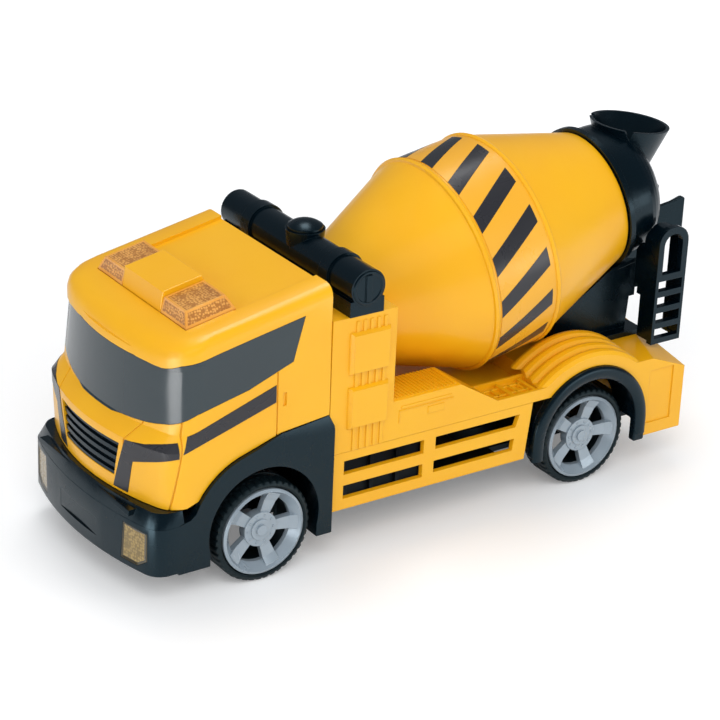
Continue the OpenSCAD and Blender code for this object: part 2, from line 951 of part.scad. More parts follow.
module battery_box() {
    difference() {
        box(-28.6, 28.6, front_axle_y + 36.6, front_axle_y + 74.2, floor_z, 32.4);
        box(-27, 27, front_axle_y + 38.2, front_axle_y + 72.6, floor_z - 1, 30.8);
    }
    for (side = [-1, 1])
        for (i = [0:3])
            box(side * 29 - 1, side * 29 + 1, front_axle_y + 38 + i * 10.6, front_axle_y + 39.4 + i * 10.6,
                floor_z + 1, 32.4);
    difference() {
        box(-3.6, 3.6, front_axle_y + 73.4, door_screw_y + 3.4, floor_z + 1, 24);
        translate([0, door_screw_y, floor_z])
            cylinder(d = 2.6, h = 9);
    }
}

module speaker_housing() {
    difference() {
        translate([0, speaker_y, floor_z + 1])
            cylinder(d = 32.6, h = 6);
        translate([0, speaker_y, floor_z + 2])
            cylinder(d = 29.4, h = 6);
    }
}

// ---------- wheels ----------

module axle_rod(y, half_l) {
    color(steel)
        rod_x(axle_d, -half_l, half_l, y, hub_z);
}

module front_axle_rod() {
    axle_rod(front_axle_y, front_wheel_x - 2.4);
}

module rear_axle_rod() {
    axle_rod(rear_axle_y, rear_wheel_x - 2.4);
}

// Places a wheel drawn with its outer face at z = 0 and its inside towards -z
module at_wheel(side, face_x, y) {
    translate([side * face_x, y, hub_z])
        rotate([0, side * 90, 0])
            children();
}

// Five-spoke dished rim
module rim() {
    hub_r = 6.1;
    lip_r = rim_r - 0.9;
    web_r = 11.8;
    color(wheel_grey)
        difference() {
            union() {
                rotate_extrude()
                    polygon([[web_r, -3.1], [lip_r, 0], [rim_r, -0.5], [rim_r, -1.6], [rim_r - 1.2, -2.2],
                        [rim_r - 1.2, -tyre_w + 2], [rim_r - 2.6, -tyre_w + 2], [rim_r - 2.6, -4.6],
                        [web_r, -4.9]]);
                for (i = [0:4])
                    rotate([0, 0, i * 72 + 18])
                        spoke(hub_r, lip_r);
                translate([0, 0, -5.8])
                    cylinder(r = hub_r, h = 3.4);
                translate([0, 0, -5.8])
                    cylinder(r = 3.7, h = 3.9);
                translate([0, 0, -5.8])
                    cylinder(r = 1.9, h = 4.6);
                translate([0, 0, -tyre_w + 1])
                    cylinder(r = 3.2, h = tyre_w - 6);
            }
            translate([0, 0, -tyre_w])
                cylinder(d = axle_d, h = tyre_w - 3);
        }
}

// One spoke from the hub to the rim's lip, rising along the dish
module spoke(r0, r1) {
    intersection() {
        translate([0, 0, -8])
            linear_extrude(10)
                polygon([[r0 - 1.2, -1.8], [r1 - 0.6, -2.6], [r1 - 0.6, 2.6], [r0 - 1.2, 1.8]]);
        rotate_extrude()
            polygon([[r0 - 1.3, -5.2], [12.2, -4.4], [r1 - 0.9, -1.9], [r1 - 0.9, -1], [10.6, -2.2],
                [r0 - 1.3, -3]]);
    }
}

// Tyre with a grooved tread and shoulder lugs
module tyre() {
    r = tyre_d / 2;
    color(black)
        difference() {
            rotate_extrude()
                polygon([[rim_r - 0.2, -1.9], [rim_r + 0.2, -0.9], [r - 1, -0.5], [r, -2.2],
                    [r, -tyre_w + 2.2], [r - 1, -tyre_w + 0.5], [rim_r - 1.2, -tyre_w + 0.2],
                    [rim_r - 1.2, -2.2]]);
            for (i = [0:29])
                rotate([0, 0, i * 12])
                    translate([r - 0.7, -0.5, -3])
                        cube([2, 1, 3]);
        }
}

module rim_front_left() {
    at_wheel(1, front_wheel_x, front_axle_y)
        rim();
}

module rim_front_right() {
    at_wheel(-1, front_wheel_x, front_axle_y)
        rim();
}

module rim_rear_left() {
    at_wheel(1, rear_wheel_x, rear_axle_y)
        rim();
}

module rim_rear_right() {
    at_wheel(-1, rear_wheel_x, rear_axle_y)
        rim();
}

module tyre_front_left() {
    at_wheel(1, front_wheel_x, front_axle_y)
        tyre();
}

module tyre_front_right() {
    at_wheel(-1, front_wheel_x, front_axle_y)
        tyre();
}

module tyre_rear_left() {
    at_wheel(1, rear_wheel_x, rear_axle_y)
        tyre();
}

module tyre_rear_right() {
    at_wheel(-1, rear_wheel_x, rear_axle_y)
        tyre();
}

// ---------- drum ----------

// Raised bead round the drum at the distance s along its axis
module drum_bead(s) {
    translate([0, 0, s])
        rotate_extrude($fn = 72)
            polygon([[drum_r - 0.8, -1.2], [drum_r + 0.3, -0.9], [drum_r + 0.8, 0],
                [drum_r + 0.3, 0.9], [drum_r - 0.8, 1.2]]);
}

module drum_front_shell() {
    color(yellow)
        on_drum_axis() {
            rotate_extrude($fn = 72)
                polygon([[2 + slide_gap, -front_cone_l], [front_end_r, -front_cone_l], [drum_r, 0],
                    [drum_r, band_l / 2], [drum_r - drum_wall, band_l / 2], [drum_r - drum_wall, 0.3],
                    [front_end_r - drum_wall, -front_cone_l + 1.6], [6, -front_cone_l + 1.6],
                    [5, -front_cone_l + 9], [2 + slide_gap, -front_cone_l + 9]]);
            drum_bead(0);
        }
}

module drum_rear_shell() {
    color(yellow)
        on_drum_axis() {
            rotate_extrude($fn = 72)
                polygon([[drum_r, band_l / 2], [drum_r, band_l], [mouth_r, rear_end_s],
                    [neck_r, rear_end_s], [neck_r, rear_end_s + 5.4], [neck_r - drum_wall, rear_end_s + 5.4],
                    [neck_r - drum_wall, rear_end_s - 1.6], [mouth_r - drum_wall, rear_end_s - 1.6],
                    [drum_r - drum_wall, band_l - 0.3], [drum_r - drum_wall, band_l / 2]]);
            drum_bead(band_l);
        }
}

module drum_sticker() {
    color(slate)
        on_drum_axis()
            rotate_extrude($fn = 72)
                translate([drum_r, 1.6])
                    square([0.2, band_l - 3.2]);
}

module drum_pivot_pin() {
    color(steel)
        on_drum_axis()
            translate([0, 0, -front_cone_l - 9])
                cylinder(d = 4, h = 16.4);
}

// ---------- rear support, hopper, chute and ladder ----------

module gusset() {
    across(13, 16) {
        polygon([[rear_axle_y + 1, bed_z + 0.6], [rear_axle_y + 33, bed_z + 0.6], [rear_axle_y + 34, 57],
            [rear_axle_y + 42, 78], [rear_axle_y + 34, 78], [rear_axle_y + 1, 60]]);
    }
}

module rear_support() {
    color(black)
        difference() {
            union() {
                box(-20, 20, rear_axle_y + 4, rear_axle_y + 38, block_top_z, block_top_z + 2);
                difference() {
                    union() {
                        both_sides()
                            gusset();
                        across(-14, 14)
                            polygon([[rear_axle_y + 16, bed_z + 1.5], [rear_axle_y + 18, bed_z + 1.5],
                                [rear_axle_y + 24, 70], [rear_axle_y + 22, 70]]);
                    }
                    on_drum_axis()
                        translate([0, 0, band_l])
                            cylinder(r1 = drum_r + 1.4, r2 = mouth_r + 1.4, h = rear_end_s - band_l);
                    on_drum_axis()
                        translate([0, 0, rear_end_s - 0.2])
                            cylinder(r = mouth_r + 1.7, h = 40);
                }
                intersection() {
                    on_drum_axis()
                        difference() {
                            translate([0, 0, rear_end_s + 1])
                                cylinder(r = mouth_r + 2.8, h = 11);
                            translate([0, 0, rear_end_s])
                                cylinder(r = mouth_r + 1.6, h = 20);
                        }
                    box(-17, 17, 40, 120, 60, 78);
                }
                box(-16, 16, rear_axle_y + 34, rear_axle_y + 40, 60, 63);
                box(-6, 6, rear_axle_y + 34, chute_y + 6, chute_z - 4, chute_z - 0.3);
                both_sides()
                    across(3, 6)
                        polygon([[rear_axle_y + 34, 57], [rear_axle_y + 40, 57], [chute_y + 4, chute_z - 3.9],
                            [rear_axle_y + 34, chute_z - 3.9]]);
                box(-16, 16, rear_axle_y + 33.9, rear_axle_y + 36.4, 57, chute_z - 0.3);
            }
            translate([0, chute_y, chute_z - 10])
                cylinder(d = 4, h = 20);
            on_drum_axis()
                translate([0, 0, rear_end_s - 0.2])
                    cylinder(r = mouth_r + 1.6, h = 11);
            hopper_dome(0.15);
        }
}

// Outer form of the dome behind the drum's mouth, enlarged by grow
module hopper_dome(grow) {
    s0 = rear_end_s + 0.5;
    on_drum_axis()
        rotate_extrude($fn = 72)
            polygon(concat([[0, s0 - grow], [mouth_r + 1.4 + grow, s0 - grow],
                    [mouth_r + 1.4 + grow, s0 + 2 + grow], [mouth_r - 0.6 + grow, s0 + 3.4 + grow]],
                [for (a = [0:10:80]) [12 + (mouth_r - 13 + grow) * cos(a), s0 + 10 + (11 + grow) * sin(a)]],
                [[11, s0 + 21 + grow], [0, s0 + 21 + grow]]));
}

// Domed collar round the drum's mouth, with the filling funnel on top
module mouth_hopper() {
    s0 = rear_end_s + 0.5;
    color(black)
        difference() {
            union() {
                hopper_dome(0);
                funnel(0);
            }
            on_drum_axis()
                translate([0, 0, s0 - 1])
                    cylinder(r = neck_r + slide_gap, h = 6);
            on_drum_axis()
                rotate_extrude($fn = 72)
                    polygon(concat([[0, s0 + 4.8]],
                        [[mouth_r - 3, s0 + 4.8]],
                        [for (a = [0:10:80]) [11 + (mouth_r - 14) * cos(a), s0 + 10 + 9.4 * sin(a)]],
                        [[0, s0 + 19.4]]));
            funnel(1.5);
            both_sides()
                translate([10.4, rear_axle_y + 32.4, 116.5])
                    rotate([0, 0, -52])
                        rotate([90, 0, 90])
                            translate([0, 0, -3])
                                linear_extrude(6)
                                    polygon([[-3.4, 6], [0, -1.9], [3.4, 6]]);
            translate([0, chute_y - 30, chute_z + 9.4])
                rotate([-90, 0, 0])
                    cylinder(d = 9, h = 40, $fn = 32);
        }
}

// Cone of the filling funnel, with its rim tipped slightly backwards
module funnel(inset) {
    translate([0, rear_axle_y + 41, 116.9])
        rotate([-6.8, 0, 0])
            translate([0, 0, -18])
                cylinder(r1 = 8 - inset, r2 = 14.4 - inset * 0.8, h = 18 + inset / 20);
}

// Plan of the chute: round at its pivot, widening towards its tip
module chute_outline(inset) {
    circle(r = 6 - inset);
    polygon([[-6 + inset, 0], [6 - inset, 0], [8.2 - inset, 11 + inset * 2], [-8.2 + inset, 11 + inset * 2]]);
}

module discharge_chute() {
    color(black)
        translate([0, chute_y, chute_z])
            difference() {
                union() {
                    linear_extrude(14)
                        chute_outline(0);
                    intersection() {
                        linear_extrude(14)
                            chute_outline(-0.6);
                        box(-10, 10, 9.8, 11, -1, 20);
                    }
                }
                translate([0, 0, 2])
                    linear_extrude(20)
                        chute_outline(1.5);
                translate([0, 0, -1])
                    cylinder(d = 4 + 2 * slide_gap, h = 5);
                across(-10, 10)
                    polygon([[-8, 7.6], [-2, 9.4], [6, 11.2], [9.6, 12.7], [10.6, 12.7], [11.3, 11.9],
                        [11.3, 20], [-8, 20]]);
            }
}

module chute_pin() {
    color(steel)
        translate([0, chute_y, chute_z - 4.6])
            cylinder(d = 4, h = 6.4);
}

// Ladder with an arched top and four slots, on deep side plates
module ladder() {
    y0 = rear_axle_y + 33.6;
    x1 = 30.4;
    color(black)
        difference() {
            union() {
                across(x1 - 2.4, x1)
                    polygon(concat([[y0, block_top_z], [y0 + 13.3, block_top_z]],
                        arc(y0 + 7.3, 81.4, 6, 0, 90, 6),
                        arc(y0 + 6, 81.4, 6, 90, 180, 6)));
                across(x1 - 8, x1 - 2.3)
                    difference() {
                        polygon(concat([[y0, block_top_z + 1], [y0 + 13.3, block_top_z + 1]],
                            arc(y0 + 7.3, 80.4, 6, 0, 90, 6),
                            arc(y0 + 6, 80.4, 6, 90, 180, 6)));
                        polygon(concat([[y0 + 1.8, block_top_z - 4], [y0 + 11.7, block_top_z - 4]],
                            arc(y0 + 7.2, 80.4, 4.5, 0, 90, 6),
                            arc(y0 + 6.3, 80.4, 4.5, 90, 180, 6)));
                    }
                box(x1 - 12, x1 - 7, y0, y0 + 1.8, 60, 79);
            }
            for (i = [0:3])
                box(x1 - 5, x1 + 1, y0 + 1.3, y0 + 12, 45.4 + i * 6.07, 49.2 + i * 6.07);
            across(x1 - 5, x1 + 1)
                polygon(concat([[y0 + 2.4, 69.9], [y0 + 10.8, 69.9]],
                    arc(y0 + 6.8, 80.8, 4, 0, 90, 5),
                    arc(y0 + 6.4, 80.8, 4, 90, 180, 5)));
            hopper_dome(0.2);
            box(0, x1 - 10, y0 - 1, y0 + 14, 56, 63.2);
            box(0, 20.1, y0 - 1, y0 + 14, 40, 50);
        }
}

cab_shell();
windscreen_panel();
grille_insert();
cab_trim_stickers();
beacon_cover();
beacon_lens_left();
beacon_lens_right();
front_bumper();
headlight_lens_left();
headlight_lens_right();
body_shell();
side_skirt_left();
side_skirt_right();
rear_arch_trim_left();
rear_arch_trim_right();
roof_tube();
push_button();
button_spring();
tact_switch();
circuit_board();
led_lamps();
chassis_base();
battery_door();
battery_door_screw();
batteries();
battery_contacts();
speaker();
power_switch_housing();
power_switch_knob();
chassis_screws();
front_axle_rod();
rear_axle_rod();
rim_front_left();
rim_front_right();
rim_rear_left();
rim_rear_right();
tyre_front_left();
tyre_front_right();
tyre_rear_left();
tyre_rear_right();
drum_front_shell();
drum_rear_shell();
drum_sticker();
drum_pivot_pin();
rear_support();
mouth_hopper();
discharge_chute();
chute_pin();
ladder();
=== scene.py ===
"""Looks of the toy cement mixer truck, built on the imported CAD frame. All lengths are in metres."""
import json
import math

import bmesh
import bpy
from mathutils import Matrix, Vector
from mathutils.kdtree import KDTree


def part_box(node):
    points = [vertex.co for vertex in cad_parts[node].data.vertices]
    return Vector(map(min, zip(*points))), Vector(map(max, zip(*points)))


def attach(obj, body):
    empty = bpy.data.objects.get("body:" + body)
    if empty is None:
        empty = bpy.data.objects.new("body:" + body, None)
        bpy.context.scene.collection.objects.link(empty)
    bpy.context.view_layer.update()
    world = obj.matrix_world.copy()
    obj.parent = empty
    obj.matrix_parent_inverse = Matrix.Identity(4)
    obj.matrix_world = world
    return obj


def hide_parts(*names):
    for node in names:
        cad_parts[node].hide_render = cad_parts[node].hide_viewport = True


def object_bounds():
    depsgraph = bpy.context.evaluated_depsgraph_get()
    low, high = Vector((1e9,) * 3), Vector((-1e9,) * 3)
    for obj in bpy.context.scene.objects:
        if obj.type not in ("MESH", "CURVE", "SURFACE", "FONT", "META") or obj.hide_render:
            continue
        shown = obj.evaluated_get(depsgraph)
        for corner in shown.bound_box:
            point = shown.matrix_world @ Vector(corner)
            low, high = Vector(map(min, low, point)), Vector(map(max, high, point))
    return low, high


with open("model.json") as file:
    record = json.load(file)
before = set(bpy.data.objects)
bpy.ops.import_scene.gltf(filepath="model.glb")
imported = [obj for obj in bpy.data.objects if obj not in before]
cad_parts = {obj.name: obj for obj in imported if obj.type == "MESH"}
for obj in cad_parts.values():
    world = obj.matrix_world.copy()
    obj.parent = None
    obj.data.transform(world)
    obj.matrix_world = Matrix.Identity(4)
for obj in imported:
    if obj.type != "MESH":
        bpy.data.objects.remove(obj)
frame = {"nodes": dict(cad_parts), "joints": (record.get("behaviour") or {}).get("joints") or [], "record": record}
NODES = frame["nodes"]
BODY_OF = {n: b for b, ns in frame["record"]["behaviour"]["bodies"].items() for n in ns}
SLOT_OF = {s["node"]: s["material_slot"] for s in frame["record"]["subparts"]}
cad_low, cad_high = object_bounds()
MM = 0.001
GOLDEN = 0.618034  # step that spreads samples evenly
WELD = 0.002 * MM  # points closer than this are one point
SEAM_ANGLE = math.radians(9)  # sharpest bend that stays smooth where two CAD surfaces meet
CURVE_ANGLE = math.radians(32)  # the same inside one CAD surface
BLEND_ANGLE = math.radians(34)  # surfaces that differ by less than this share their shading
BLEND_REACH = 5 * MM


# ---------- shader helpers ----------

class Shader:
    """Small wrapper that adds and links nodes of one material."""

    def __init__(self, name):
        self.material = bpy.data.materials.new(name)
        self.material.use_nodes = True
        self.tree = self.material.node_tree
        self.tree.nodes.clear()
        self.out = self.add("ShaderNodeOutputMaterial")
        self.bsdf = self.add("ShaderNodeBsdfPrincipled")
        self.link(self.bsdf.outputs["BSDF"], self.out.inputs["Surface"])

    def add(self, kind, **values):
        node = self.tree.nodes.new(kind)
        for key, value in values.items():
            if hasattr(node, key):
                setattr(node, key, value)
            else:
                node.inputs[key.replace("_", " ")].default_value = value
        return node

    def link(self, a, b):
        self.tree.links.new(a, b)

    def set(self, **values):
        for key, value in values.items():
            self.bsdf.inputs[key.replace("_", " ")].default_value = value

    def coords(self):
        return self.add("ShaderNodeTexCoord").outputs["Object"]

    def noise(self, scale, detail=2.0, roughness=0.5, vector=None, distortion=0.0):
        node = self.add("ShaderNodeTexNoise")
        node.inputs["Scale"].default_value = scale
        node.inputs["Detail"].default_value = detail
        node.inputs["Roughness"].default_value = roughness
        node.inputs["Distortion"].default_value = distortion
        self.link(vector or self.coords(), node.inputs["Vector"])
        return node.outputs["Fac"]

    def ramp(self, value, low, high, to_low=0.0, to_high=1.0):
        node = self.add("ShaderNodeMapRange", interpolation_type="SMOOTHSTEP")
        for key, v in (("From Min", low), ("From Max", high), ("To Min", to_low), ("To Max", to_high)):
            node.inputs[key].default_value = v
        self.link(value, node.inputs["Value"])
        return node.outputs["Result"]

    def mix(self, factor, a, b):
        node = self.add("ShaderNodeMix", data_type="RGBA")
        for socket, value in ((node.inputs[0], factor), (node.inputs[6], a), (node.inputs[7], b)):
            if isinstance(value, bpy.types.NodeSocket):
                self.link(value, socket)
            elif isinstance(value, (int, float)):
                socket.default_value = value
            else:
                socket.default_value = (*value[:3], 1.0)
        return node.outputs[2]

    def math(self, operation, a, b=None):
        node = self.add("ShaderNodeMath", operation=operation)
        for socket, value in zip(node.inputs, (a, b)):
            if isinstance(value, bpy.types.NodeSocket):
                self.link(value, socket)
            elif value is not None:
                socket.default_value = value
        return node.outputs[0]

    def bump(self, height, strength, distance, normal=None):
        node = self.add("ShaderNodeBump")
        node.inputs["Strength"].default_value = strength
        node.inputs["Distance"].default_value = distance
        self.link(height, node.inputs["Height"])
        if normal is not None:
            self.link(normal, node.inputs["Normal"])
        return node.outputs["Normal"]

    def rounded(self, radius):
        """Normal that rounds every edge by the given radius."""
        bevel = self.add("ShaderNodeBevel", samples=4)
        bevel.inputs["Radius"].default_value = radius
        return bevel.outputs["Normal"]

    def edge_mask(self, soft_normal):
        """Near 1 along outer and inner edges, from a rounded normal compared with the true one."""
        geometry = self.add("ShaderNodeNewGeometry")
        dot = self.add("ShaderNodeVectorMath", operation="DOT_PRODUCT")
        self.link(soft_normal, dot.inputs[0])
        self.link(geometry.outputs["Normal"], dot.inputs[1])
        return self.ramp(dot.outputs["Value"], 0.995, 0.80)


def srgb(r, g, b):
    """Linear colour from 0-255 display values."""
    def channel(c):
        c /= 255
        return c / 12.92 if c <= 0.04045 else ((c + 0.055) / 1.055) ** 2.4
    return tuple(channel(c) for c in (r, g, b))


def moulded_plastic(name, colour, shade, wear_and_sheen, roughness, grain, coat=0.0, wear_and_sheen_amount=0.35,
                    specular=0.5, metal=0.0, tint=(1.0, 1.0, 1.0)):
    """Injection-moulded plastic: faint colour drift, fine skin, handling marks and paler edges, which stand for
    worn edges and, on the grey rim, for a painted highlight.
    """
    s = Shader(name)
    drift = s.ramp(s.noise(28, 3), 0.35, 0.65)
    base = s.mix(s.math("MULTIPLY", drift, 0.35), colour, shade)
    speck = s.ramp(s.noise(900, 1), 0.62, 0.78)
    base = s.mix(s.math("MULTIPLY", speck, 0.10), base, shade)
    patch = s.ramp(s.noise(120, 4, 0.65), 0.42, 0.66)
    soft = s.rounded(0.25 * MM)
    edge = s.math("MULTIPLY", s.edge_mask(soft), patch)
    # paler edges: wear, and on the grey rim a painted highlight along the edges
    base = s.mix(s.math("MULTIPLY", edge, wear_and_sheen_amount), base, wear_and_sheen)
    s.link(base, s.bsdf.inputs["Base Color"])
    smear = s.ramp(s.noise(60, 4, 0.6, distortion=0.6), 0.3, 0.7, roughness - 0.045, roughness + 0.06)
    s.link(s.math("ADD", smear, s.math("MULTIPLY", edge, 0.12)), s.bsdf.inputs["Roughness"])
    skin = s.bump(s.noise(2600, 2, 0.6), grain, 0.00004, soft)
    wave = s.bump(s.noise(70, 2), 0.10, 0.0004, skin)
    s.link(wave, s.bsdf.inputs["Normal"])
    s.set(Coat_Weight=coat, Coat_Roughness=0.18, IOR=1.5, Specular_IOR_Level=specular, Metallic=metal,
          Specular_Tint=(*tint, 1.0))
    return s.material


def build_materials():
    """One finish per material slot of the record, plus those of the added pieces."""
    return {
        "yellow_shell": moulded_plastic("moulded_yellow", srgb(241, 178, 18), srgb(236, 164, 10),
                                        srgb(255, 212, 100), 0.32, 0.2, coat=0.12),
        "black_trim": moulded_plastic("moulded_black", srgb(2, 12, 19), srgb(1, 8, 13),
                                      srgb(46, 64, 76), 0.24, 0.2, specular=0.44, tint=(0.55, 0.84, 1.0)),
        "black_chassis": moulded_plastic("moulded_black_matt", srgb(13, 17, 22), srgb(8, 11, 15),
                                         srgb(50, 56, 62), 0.5, 0.5, specular=0.3, tint=(0.7, 0.9, 1.0)),
        "slate_glazing": moulded_plastic("slate_glazing", srgb(40, 53, 58), srgb(35, 46, 52),
                                         srgb(84, 96, 102), 0.16, 0.04, coat=0.3, wear_and_sheen_amount=0.1),
        "sticker": moulded_plastic("vinyl_dark", srgb(46, 46, 50), srgb(38, 38, 42),
                                   srgb(92, 94, 98), 0.26, 0.08, specular=0.45, wear_and_sheen_amount=0.1),
        "label_yellow": moulded_plastic("vinyl_yellow", srgb(236, 172, 44), srgb(228, 160, 34),
                                        srgb(250, 210, 120), 0.3, 0.06),
        # the rim's bright edge colour, laid on strongly, is a painted highlight along the spoke edges as well as
        # wear
        "grey_rim": moulded_plastic("painted_grey", srgb(160, 173, 183), srgb(144, 157, 167),
                                    srgb(222, 232, 238), 0.24, 0.3, coat=0.2, wear_and_sheen_amount=0.6, metal=0.35),
        "tyre": moulded_plastic("tyre_black", srgb(12, 22, 26), srgb(7, 14, 17), srgb(48, 60, 66),
                                0.48, 0.5, specular=0.4, tint=(0.7, 0.92, 1.0)),
        "steel": steel_material(),
        "amber_lens": prism_lens("amber_lens", srgb(232, 168, 84), srgb(146, 86, 30), 1150),
        "amber_edge": prism_lens("amber_edge", srgb(238, 172, 78), srgb(222, 150, 56), 60),
        "olive_lens": prism_lens("olive_lens", srgb(168, 140, 78), srgb(98, 80, 34), 950),
        "olive_edge": prism_lens("olive_edge", srgb(70, 60, 30), srgb(44, 38, 20), 60),
        "circuit_board": moulded_plastic("board_green", srgb(30, 104, 58), srgb(22, 84, 46),
                                         srgb(120, 150, 110), 0.4, 0.1),
        "led": moulded_plastic("lamp_clear", srgb(228, 228, 216), srgb(214, 214, 200),
                               srgb(250, 250, 240), 0.15, 0.02),
        "battery": moulded_plastic("cell_jacket", srgb(60, 66, 76), srgb(48, 54, 62),
                                   srgb(120, 124, 130), 0.3, 0.05, coat=0.3),
        "speaker_unit": moulded_plastic("speaker_grey", srgb(66, 72, 80), srgb(52, 58, 64),
                                        srgb(112, 118, 122), 0.5, 0.3),
    }


def steel_material():
    """Bright drawn steel with fine streaks along the rod."""
    s = Shader("drawn_steel")
    streak = s.add("ShaderNodeMapping")
    streak.inputs["Scale"].default_value = (1.0, 40.0, 40.0)
    s.link(s.coords(), streak.inputs["Vector"])
    lines = s.noise(60, 3, 0.6, vector=streak.outputs["Vector"])
    base = s.mix(s.ramp(lines, 0.3, 0.7), (0.55, 0.56, 0.58), (0.68, 0.69, 0.71))
    s.link(base, s.bsdf.inputs["Base Color"])
    s.link(s.ramp(lines, 0.3, 0.7, 0.22, 0.38), s.bsdf.inputs["Roughness"])
    s.link(s.bump(lines, 0.15, 0.00003), s.bsdf.inputs["Normal"])
    s.set(Metallic=1.0)
    return s.material


def prism_lens(name, colour, shade, scale):
    """Tinted plastic lens with a small prism pattern, of the given cells per metre, moulded into it."""
    s = Shader(name)
    cells = s.add("ShaderNodeTexVoronoi", feature="F1")
    cells.inputs["Scale"].default_value = scale
    cells.inputs["Randomness"].default_value = 0.55
    s.link(s.coords(), cells.inputs["Vector"])
    facet = s.ramp(cells.outputs["Distance"], 0.3, 0.62)
    depth = s.ramp(s.noise(90, 2), 0.35, 0.65)
    base = s.mix(s.math("MULTIPLY", facet, 0.7), colour, shade)
    s.link(s.mix(s.math("MULTIPLY", depth, 0.35), base, shade), s.bsdf.inputs["Base Color"])
    s.link(s.bump(cells.outputs["Distance"], 0.5, 0.0003), s.bsdf.inputs["Normal"])
    s.set(Roughness=0.22, IOR=1.49, Coat_Weight=0.5, Coat_Roughness=0.06)
    return s.material


# ---------- mesh helpers ----------

def link_piece(name, mesh, body, material, replaces=()):
    """Puts a mesh into the scene as a piece of one body, in place of the CAD nodes that it replaces."""
    obj = bpy.data.objects.new(name, mesh)
    bpy.context.scene.collection.objects.link(obj)
    mesh.materials.clear()
    mesh.materials.append(material)
    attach(obj, body)
    if replaces:
        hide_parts(*replaces)
    return obj


def patch_areas(bm, flat=0.6):
    """Area of the flat patch that each face belongs to."""
    limit, area = math.cos(math.radians(flat)), {}
    for start in bm.faces:
        if start in area:
            continue
        patch, todo = {start}, [start]
        while todo:
            face = todo.pop()
            for other in (f for edge in face.edges for f in edge.link_faces):
                if other not in patch and other not in area and other.normal.dot(start.normal) > limit:
                    patch.add(other)
                    todo.append(other)
        total = sum(f.calc_area() for f in patch)
        area.update((f, total) for f in patch)
    return area


def surface_samples(bm, spacing):
    """Points spread over the triangles, with the normal and the area that each one stands for."""
    points, normals, areas = [], [], []
    for face in bm.faces:
        a, b, c = (v.co for v in face.verts[:3])
        area = face.calc_area()
        longest = max(e.calc_length() for e in face.edges)
        count = max(1, int(area / spacing ** 2), int(longest / (2 * spacing)))
        for i in range(count):
            u, v = math.sqrt((i + 0.5) / count), (i * GOLDEN) % 1.0
            points.append(a * (1 - u) + b * (u * (1 - v)) + c * (u * v))
            normals.append(face.normal)
            areas.append(area / count)
    tree = KDTree(len(points))
    for i, point in enumerate(points):
        tree.insert(point, i)
    tree.balance()
    return tree, normals, areas


def relaxed(point, normal, samples, reach, limit):
    """The mean normal of the surface near a point, leaving out what faces clearly another way."""
    tree, normals, areas = samples
    total = normal * 1e-9
    for _, i, dist in tree.find_range(point, reach):
        if normals[i].dot(normal) > limit:
            total += normals[i] * (areas[i] * (1 - (dist / reach) ** 2))
    return total.normalized()


def shading_normals(bm, reach=0.0):
    """One normal for each face corner: flat patches stay flat, curved ones blend up to the sharp edges."""
    weight, normals = patch_areas(bm), {}
    samples = surface_samples(bm, reach / 4) if reach else None
    for vert in bm.verts:
        left = {loop.face: loop for loop in vert.link_loops}
        while left:
            first = next(iter(left))
            fan, todo = [], [first]
            while todo:
                face = todo.pop()
                if face not in left:
                    continue
                fan.append(left.pop(face))
                for edge in face.edges:
                    if vert in edge.verts and edge.smooth:
                        todo.extend(f for f in edge.link_faces if f in left)
            total = Vector()
            for loop in fan:
                total += loop.face.normal * (weight[loop.face] * loop.calc_angle())
            mean = total.normalized() if total.length else fan[0].face.normal.copy()
            if samples:
                mean = relaxed(vert.co, mean, samples, reach, math.cos(BLEND_ANGLE))
            for loop in fan:
                normals[loop] = mean
    return [normals[loop] for face in bm.faces for loop in face.loops]


def refined(node, material, bevel=0.0, facets=False):
    """A welded copy of a CAD node, shaded smoothly inside each of its surfaces and crisply between them."""
    bm = bmesh.new()
    bm.from_mesh(NODES[node].data)
    borders = [] if facets else [e for e in bm.edges if e.is_boundary]
    seams = {frozenset(tuple(v.co) for v in e.verts) for e in borders}
    bmesh.ops.remove_doubles(bm, verts=bm.verts, dist=WELD)
    if not facets:
        bmesh.ops.dissolve_degenerate(bm, dist=WELD, edges=bm.edges)
    bm.normal_update()
    for edge in bm.edges:
        seam = frozenset(tuple(v.co) for v in edge.verts) in seams
        edge.smooth = edge.calc_face_angle(math.pi) < (SEAM_ANGLE if seam else CURVE_ANGLE)
    for face in bm.faces:
        face.smooth = True
    normals = shading_normals(bm, BLEND_REACH if facets else 0.0)
    mesh = bpy.data.meshes.new(node + "_skin")
    bm.to_mesh(mesh)
    bm.free()
    if not bevel:
        mesh.normals_split_custom_set(normals)
    obj = link_piece(node + "_skin", mesh, BODY_OF[node], material, (node,))
    if bevel:
        round_edges(obj, bevel, 3)
    return obj


def circle(centre, x, radius, count):
    """Points round a circle that faces along X, with its radius in millimetres."""
    return [Vector((x, centre.y + radius * MM * math.cos(t), centre.z + radius * MM * math.sin(t)))
            for t in (2 * math.pi * n / count for n in range(count))]


def finish_mesh(bm, name, sharp=35.0):
    """Turns a bmesh into a smooth-shaded mesh whose edges stay crisp beyond the sharp angle."""
    bmesh.ops.recalc_face_normals(bm, faces=bm.faces)
    for face in bm.faces:
        face.smooth = True
    mesh = bpy.data.meshes.new(name)
    bm.to_mesh(mesh)
    bm.free()
    mesh.set_sharp_from_angle(angle=math.radians(sharp))
    return mesh


def add_grid(bm, rows, close_u=False, close_v=False):
    """Faces over a grid of points, optionally closed in one or both directions. Returns the vertices."""
    verts = [[bm.verts.new(p) for p in row] for row in rows]
    nu, nv = len(rows), len(rows[0])
    for i in range(nu if close_u else nu - 1):
        for j in range(nv if close_v else nv - 1):
            a, b = verts[i][j], verts[(i + 1) % nu][j]
            c, d = verts[(i + 1) % nu][(j + 1) % nv], verts[i][(j + 1) % nv]
            bm.faces.new((a, b, c, d))
    return verts


